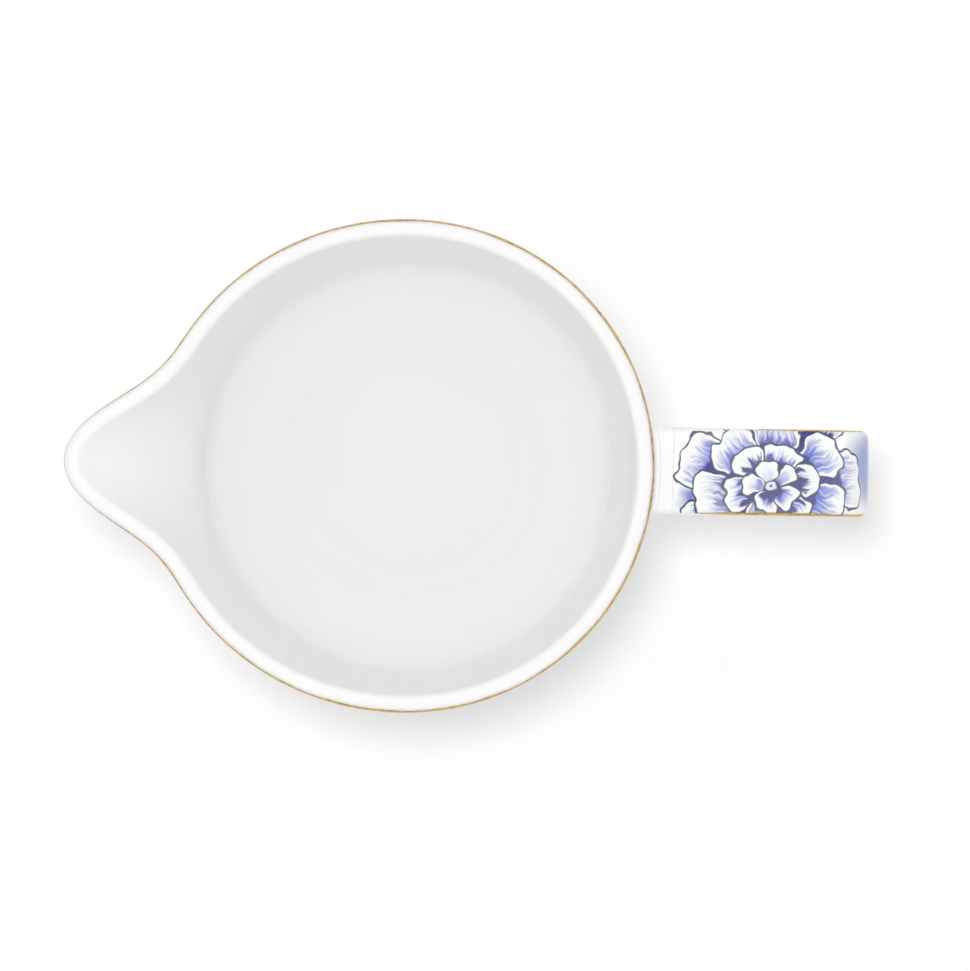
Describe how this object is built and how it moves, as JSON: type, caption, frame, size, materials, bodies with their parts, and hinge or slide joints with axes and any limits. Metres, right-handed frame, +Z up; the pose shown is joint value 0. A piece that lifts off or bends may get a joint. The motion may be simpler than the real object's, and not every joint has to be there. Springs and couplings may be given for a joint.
{
  "type": "cream jug",
  "caption": "Small round porcelain jug on a turned foot, with a pulled pouring lip at the front and a squared strap handle with a printed flower at the back.",
  "frame": {"origin": "middle of the foot ring, on the table", "axes": "+Z up along the axis of the round vessel; -X towards the pouring lip, +X towards the handle; XZ is the plane of symmetry"},
  "size_m": [0.1371, 0.0838, 0.0807],
  "materials": {
    "glazed_porcelain": "clear gloss glaze over white porcelain",
    "bare_porcelain": "matt, wiped free of glaze and ground flat",
    "fired_gold": "thin burnished gold fired over the glaze",
    "blue_print": "cobalt blue printed flower under a gloss glaze"
  },
  "bodies": {
    "root": {"jug_body": "glazed_porcelain", "foot_ring": "bare_porcelain", "handle": "glazed_porcelain", "upper_luting": "glazed_porcelain", "lower_luting": "glazed_porcelain", "rim_gilding": "fired_gold", "handle_gilding_left": "fired_gold", "handle_gilding_right": "fired_gold", "handle_print": "blue_print"}
  },
  "joints": []
}
